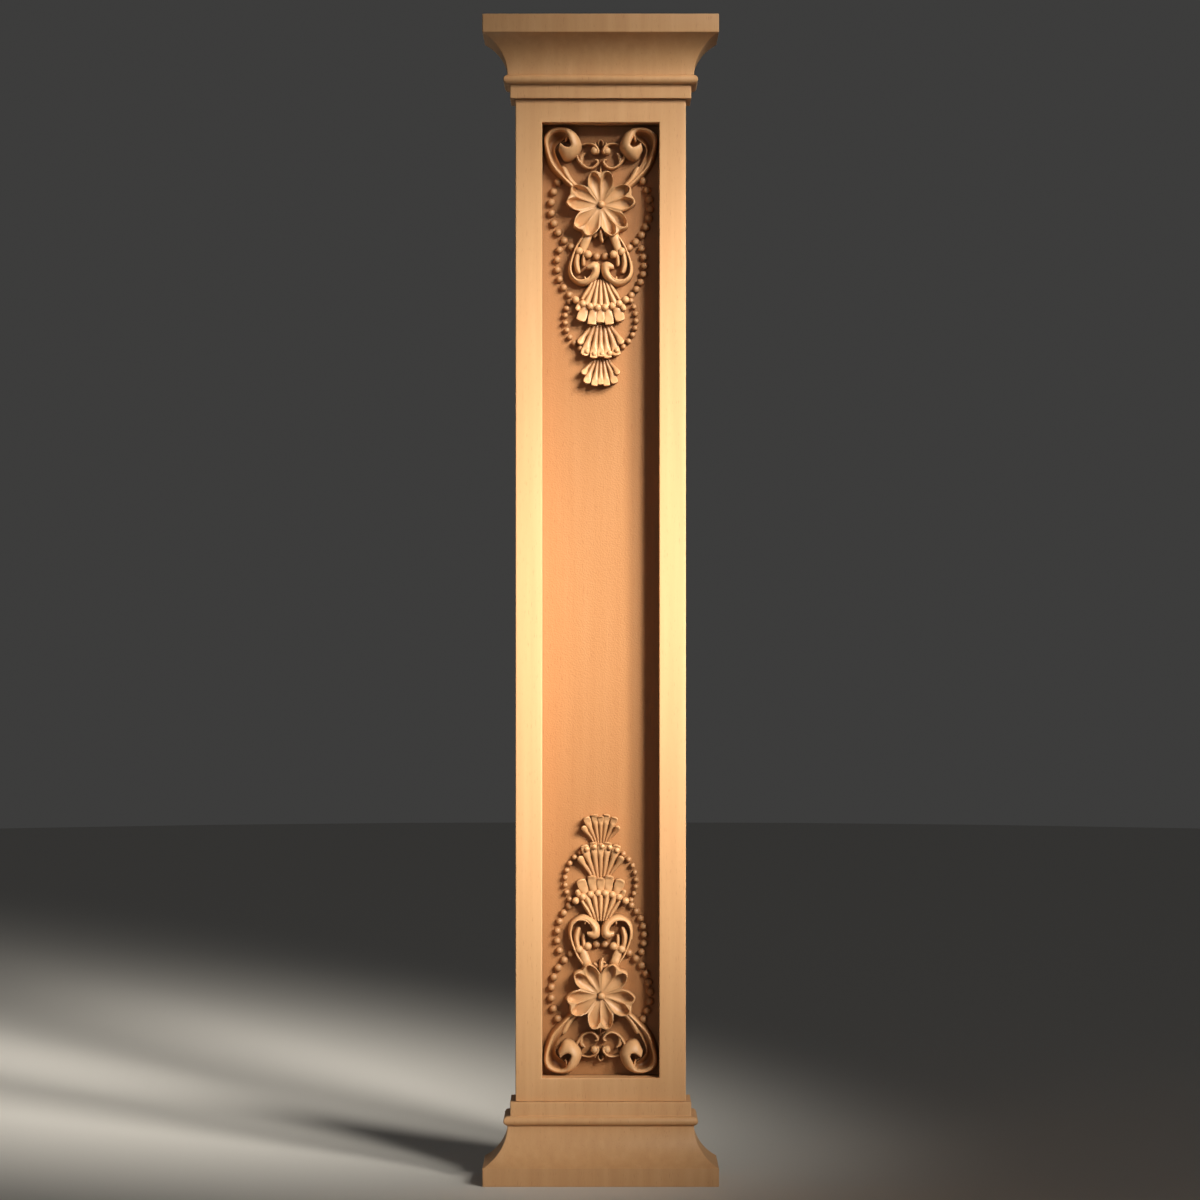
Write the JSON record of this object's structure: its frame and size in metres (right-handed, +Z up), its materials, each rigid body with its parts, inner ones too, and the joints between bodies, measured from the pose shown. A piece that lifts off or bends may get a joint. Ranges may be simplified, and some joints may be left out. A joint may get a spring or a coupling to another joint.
{
  "type": "pilaster panel",
  "caption": "Carved wooden pilaster with a sunk field, moulded capital and base, and mirrored scroll, flower and beaded fan ornaments.",
  "frame": {"origin": "under the middle of the base, on the surface that the pilaster stands on, at the middle of its width and depth", "axes": "+Z up along the shaft, the carved front faces -Y, the flat back faces +Y, +X to the right seen from the front"},
  "size_m": [0.1816, 0.0598, 0.9],
  "materials": {
    "satin_wood": "satin"
  },
  "bodies": {
    "root": {"base": "satin_wood", "shaft": "satin_wood", "capital": "satin_wood"}
  },
  "joints": []
}
